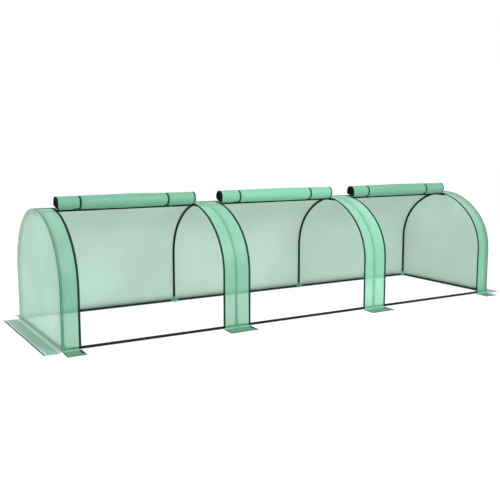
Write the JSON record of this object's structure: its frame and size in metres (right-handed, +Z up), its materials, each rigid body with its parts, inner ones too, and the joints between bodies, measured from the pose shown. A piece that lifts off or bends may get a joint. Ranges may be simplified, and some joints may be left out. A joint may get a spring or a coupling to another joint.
{
  "type": "tunnel greenhouse",
  "caption": "Low tunnel greenhouse: steel hoops on ground bars under a sewn green cover, with roll-up zipped doors along the front and ground skirts.",
  "frame": {"origin": "on the ground at the middle of the tunnel's footprint", "axes": "+X along the tunnel, -Y the side with the doors, +Z up"},
  "size_m": [3.72, 1.22, 0.8745],
  "materials": {
    "frame_tube": "dark green-black powder coat, satin",
    "connector": "moulded green plastic, satin",
    "cover_film": "translucent green sheet with a fine square reinforcing weave",
    "door_film": "the same sheet rolled in several layers, so denser in colour",
    "zip_tape": "woven dark green tape with moulded teeth",
    "zip_slider": "dark moulded plastic",
    "tie_strap": "woven dark green strap"
  },
  "bodies": {
    "frame_and_cover": {"hoop_1_front": "frame_tube", "hoop_1_back": "frame_tube", "hoop_2_front": "frame_tube", "hoop_2_back": "frame_tube", "hoop_3_front": "frame_tube", "hoop_3_back": "frame_tube", "hoop_4_front": "frame_tube", "hoop_4_back": "frame_tube", "front_bar_1": "frame_tube", "front_bar_2": "frame_tube", "front_bar_3": "frame_tube", "back_bar_1": "frame_tube", "back_bar_2": "frame_tube", "back_bar_3": "frame_tube", "ridge_bar_1": "frame_tube", "ridge_bar_2": "frame_tube", "ridge_bar_3": "frame_tube", "end_bar_left": "frame_tube", "end_bar_right": "frame_tube", "corner_front_left": "connector", "corner_front_right": "connector", "corner_back_left": "connector", "corner_back_right": "connector", "tee_front_1": "connector", "tee_front_2": "connector", "tee_back_1": "connector", "tee_back_2": "connector", "ridge_clip_1": "connector", "ridge_clip_2": "connector", "ridge_clip_3": "connector", "ridge_clip_4": "connector", "roof_back_panel": "cover_film", "end_panel_left": "cover_film", "end_panel_right": "cover_film", "front_band_1": "cover_film", "front_band_2": "cover_film", "front_band_3": "cover_film", "front_band_4": "cover_film", "zip_1_left": "zip_tape", "zip_1_right": "zip_tape", "zip_2_left": "zip_tape", "zip_2_right": "zip_tape", "zip_3_left": "zip_tape", "zip_3_right": "zip_tape", "door_tie_1_left": "tie_strap", "door_tie_1_right": "tie_strap", "door_tie_2_left": "tie_strap", "door_tie_2_right": "tie_strap", "door_tie_3_left": "tie_strap", "door_tie_3_right": "tie_strap"},
    "door_1": {"door_roll_1": "door_film"},
    "door_2": {"door_roll_2": "door_film"},
    "door_3": {"door_roll_3": "door_film"},
    "slider_1_left": {"zip_slider_1_left": "zip_slider"},
    "slider_1_right": {"zip_slider_1_right": "zip_slider"},
    "slider_2_left": {"zip_slider_2_left": "zip_slider"},
    "slider_2_right": {"zip_slider_2_right": "zip_slider"},
    "slider_3_left": {"zip_slider_3_left": "zip_slider"},
    "slider_3_right": {"zip_slider_3_right": "zip_slider"}
  },
  "joints": [
    {"name": "door_1_lower", "type": "hinge", "parent": "frame_and_cover", "child": "door_1", "pos_m": [0, 0, 0.25871], "axis": [1, 0, 0], "range_deg": [0, 104], "deforming": ["door_tie_1_left", "door_tie_1_right"]},
    {"name": "door_2_lower", "type": "hinge", "parent": "frame_and_cover", "child": "door_2", "pos_m": [0, 0, 0.25871], "axis": [1, 0, 0], "range_deg": [0, 104], "deforming": ["door_tie_2_left", "door_tie_2_right"]},
    {"name": "door_3_lower", "type": "hinge", "parent": "frame_and_cover", "child": "door_3", "pos_m": [0, 0, 0.25871], "axis": [1, 0, 0], "range_deg": [0, 104], "deforming": ["door_tie_3_left", "door_tie_3_right"]},
    {"name": "zip_1_left_slide", "type": "hinge", "parent": "frame_and_cover", "child": "slider_1_left", "pos_m": [0, 0, 0.25871], "axis": [1, 0, 0], "range_deg": [0, 42]},
    {"name": "zip_1_right_slide", "type": "hinge", "parent": "frame_and_cover", "child": "slider_1_right", "pos_m": [0, 0, 0.25871], "axis": [1, 0, 0], "range_deg": [0, 42]},
    {"name": "zip_2_left_slide", "type": "hinge", "parent": "frame_and_cover", "child": "slider_2_left", "pos_m": [0, 0, 0.25871], "axis": [1, 0, 0], "range_deg": [0, 42]},
    {"name": "zip_2_right_slide", "type": "hinge", "parent": "frame_and_cover", "child": "slider_2_right", "pos_m": [0, 0, 0.25871], "axis": [1, 0, 0], "range_deg": [0, 42]},
    {"name": "zip_3_left_slide", "type": "hinge", "parent": "frame_and_cover", "child": "slider_3_left", "pos_m": [0, 0, 0.25871], "axis": [1, 0, 0], "range_deg": [0, 42]},
    {"name": "zip_3_right_slide", "type": "hinge", "parent": "frame_and_cover", "child": "slider_3_right", "pos_m": [0, 0, 0.25871], "axis": [1, 0, 0], "range_deg": [0, 42]}
  ]
}
